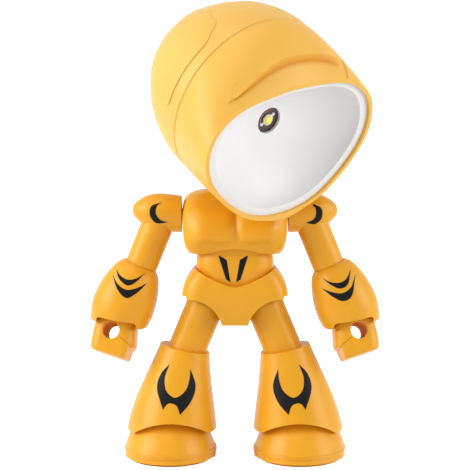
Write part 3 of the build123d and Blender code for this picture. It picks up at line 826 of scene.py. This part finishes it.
def turned_part(profile, segments=48):
    """Places and faces of a form turned about its own axis, from (radius, height) points."""
    places, faces = [], []
    for r, h in profile:
        for k in range(segments):
            turn = 2 * pi * k / segments
            places.append((r * cos(turn), r * sin(turn), h))
    for i in range(len(profile) - 1):
        for k in range(segments):
            a = i * segments + k
            b = i * segments + (k + 1) % segments
            faces.append((a, b, b + segments, a + segments))
    last = (len(profile) - 1) * segments
    faces.append(tuple(range(segments - 1, -1, -1)))
    faces.append(tuple(last + k for k in range(segments)))
    return places, faces


def leg_part(start, end, half_width, height):
    """Places and faces of a bevelled leg lying along the first axis."""
    low = [(start, -half_width), (end, -half_width), (end, half_width), (start, half_width)]
    inset = LEG_BEVEL * half_width
    high = [(start, inset - half_width), (end - inset, inset - half_width),
            (end - inset, half_width - inset), (start, half_width - inset)]
    places = [(x, y, 0.0) for x, y in low] + [(x, y, height) for x, y in high]
    faces = [(3, 2, 1, 0), (4, 5, 6, 7)]
    faces += [(k, (k + 1) % 4, (k + 1) % 4 + 4, k + 4) for k in range(4)]
    return places, faces


def led_package(turn):
    """Replaces the plain emitter with its lens, base and legs, legs turned in the board."""
    centre, normal, across, upward = board_face("led_board")
    along = across * cos(turn) + upward * sin(turn)
    side = normal.cross(along)
    lens = [(LENS_RADIUS_MM * cos(k * LENS_STEP), LENS_LOW_MM + LENS_RISE_MM * sin(k * LENS_STEP))
            for k in range(LENS_STEPS)]
    leg = leg_part(LEG_START_MM, LEG_END_MM, LEG_HALF_WIDTH_MM, LEG_HEIGHT_MM)
    blob = turned_part(BLOB_MM, segments=24)
    middle = [(turned_part(BASE_MM), package_white, 0.0), (turned_part(lens), phosphor, 0.0)]
    legs = [(leg, solder, 0.0), (blob, solder, LEG_END_MM)]
    places, faces, slots = [], [], []
    for flip, parts in ((1, middle + legs), (-1, legs)):
        for (points, loops), mat, shift in parts:
            start = len(places)
            for x, y, z in points:
                spot = along * (x + shift) * flip + side * y * flip + normal * z
                places.append(centre + spot * MM)
            faces += [tuple(start + i for i in loop) for loop in loops]
            slots += [LED_MATS.index(mat)] * len(loops)
    obj = new_piece("led_package", places, faces, LED_MATS, "head")
    for poly, slot in zip(obj.data.polygons, slots):
        poly.material_index = slot
    smooth(obj)
    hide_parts("led_emitter")


def board_trace(name, radius, start, end, width=0.28, thick=0.05, steps=28):
    """Thin copper arc on the board's face, sizes in mm and turns in degrees."""
    centre, normal, across, upward = board_face("led_board")
    places, faces = [], []
    for k in range(steps + 1):
        turn = radians(start + (end - start) * k / steps)
        out = across * cos(turn) + upward * sin(turn)
        for r, h in ((-0.5, 0.0), (-0.5, 1.0), (0.5, 1.0), (0.5, 0.0)):
            spot = out * (radius + r * width) + normal * h * thick
            places.append(centre + spot * MM)
    for k in range(steps):
        for j in range(4):
            a, b = 4 * k + j, 4 * k + (j + 1) % 4
            faces.append((a, b, b + 4, a + 4))
    faces += [(3, 2, 1, 0), tuple(4 * steps + j for j in range(4))]
    new_piece(name, places, faces, (copper,), "head")


led_package(LEG_TURN)
board_trace("board_trace_inner", radius=4.4, start=100, end=205)
board_trace("board_trace_outer", radius=5.6, start=80, end=200)


# Floor, light and camera

def math_node(tree, operation, first, second):
    """Result of a math operation on a socket and another socket or a number."""
    node = tree.nodes.new("ShaderNodeMath")
    node.operation = operation
    tree.links.new(first, node.inputs[0])
    if isinstance(second, float):
        node.inputs[1].default_value = second
    else:
        tree.links.new(second, node.inputs[1])
    return node.outputs[0]


def seen_rays(tree):
    """Socket that is 1 for camera, mirror and clear rays, which see the white surroundings."""
    path = tree.nodes.new("ShaderNodeLightPath")
    plain = math_node(tree, "MAXIMUM", path.outputs["Is Camera Ray"],
                      path.outputs["Is Glossy Ray"])
    return math_node(tree, "MAXIMUM", plain, path.outputs["Is Transmission Ray"])


def pale_floor():
    """Large pale floor, lifted to white for the camera and still taking the shadow."""
    mat = bpy.data.materials.new("floor")
    mat.use_nodes = True
    tree = mat.node_tree
    shader = tree.nodes["Principled BSDF"]
    shader.inputs["Base Color"].default_value = (FLOOR_TONE, FLOOR_TONE, FLOOR_TONE, 1.0)
    shader.inputs["Roughness"].default_value = FLOOR_ROUGHNESS
    shader.inputs["Specular IOR Level"].default_value = FLOOR_GLOSS
    shader.inputs["Emission Color"].default_value = WHITE
    lift = math_node(tree, "MULTIPLY", seen_rays(tree), FLOOR_LIFT)
    tree.links.new(lift, shader.inputs["Emission Strength"])
    corners = [(FLOOR_HALF * x, FLOOR_HALF * y, 0)
               for x, y in ((-1, -1), (1, -1), (1, 1), (-1, 1))]
    floor = new_object("floor", corners, [(0, 1, 2, 3)], (mat,))


def studio_world():
    """Soft white surroundings that the camera sees as plain white."""
    world = bpy.data.worlds.new("studio")
    bpy.context.scene.world = world
    world.use_nodes = True
    tree = world.node_tree
    sky = tree.nodes["Background"]
    sky.inputs["Color"].default_value = WHITE
    pick = tree.nodes.new("ShaderNodeMix")
    pick.inputs["A"].default_value = WORLD_LIGHT
    pick.inputs["B"].default_value = 1.0
    tree.links.new(seen_rays(tree), pick.inputs["Factor"])
    tree.links.new(pick.outputs["Result"], sky.inputs["Strength"])


def area_light(name, place, aim, width, power):
    """Soft square lamp aimed at a point."""
    data = bpy.data.lights.new(name, "AREA")
    data.shape = "SQUARE"
    data.size = width
    data.energy = power
    lamp = bpy.data.objects.new(name, data)
    lamp.location = place
    lamp.rotation_euler = (Vector(aim) - Vector(place)).to_track_quat("-Z", "Y").to_euler()
    bpy.context.scene.collection.objects.link(lamp)


def photo_camera():
    """Camera that stands where the photograph was taken from."""
    data = bpy.data.cameras.new("camera")
    data.sensor_width = SENSOR_MM
    data.lens = SENSOR_MM * CAMERA_DISTANCE / (PHOTO_WIDTH_PX * PIXEL_MM * MM)
    camera = bpy.data.objects.new("camera", data)
    camera.location = CAMERA_PLACE
    camera.rotation_euler = TOWARDS_SCENE.to_track_quat("-Z", "Y").to_euler()
    bpy.context.scene.collection.objects.link(camera)
    bpy.context.scene.camera = camera


pale_floor()
studio_world()
for lamp_data in LAMPS:
    area_light(*lamp_data)
photo_camera()
bpy.context.scene.view_settings.view_transform = "Standard"
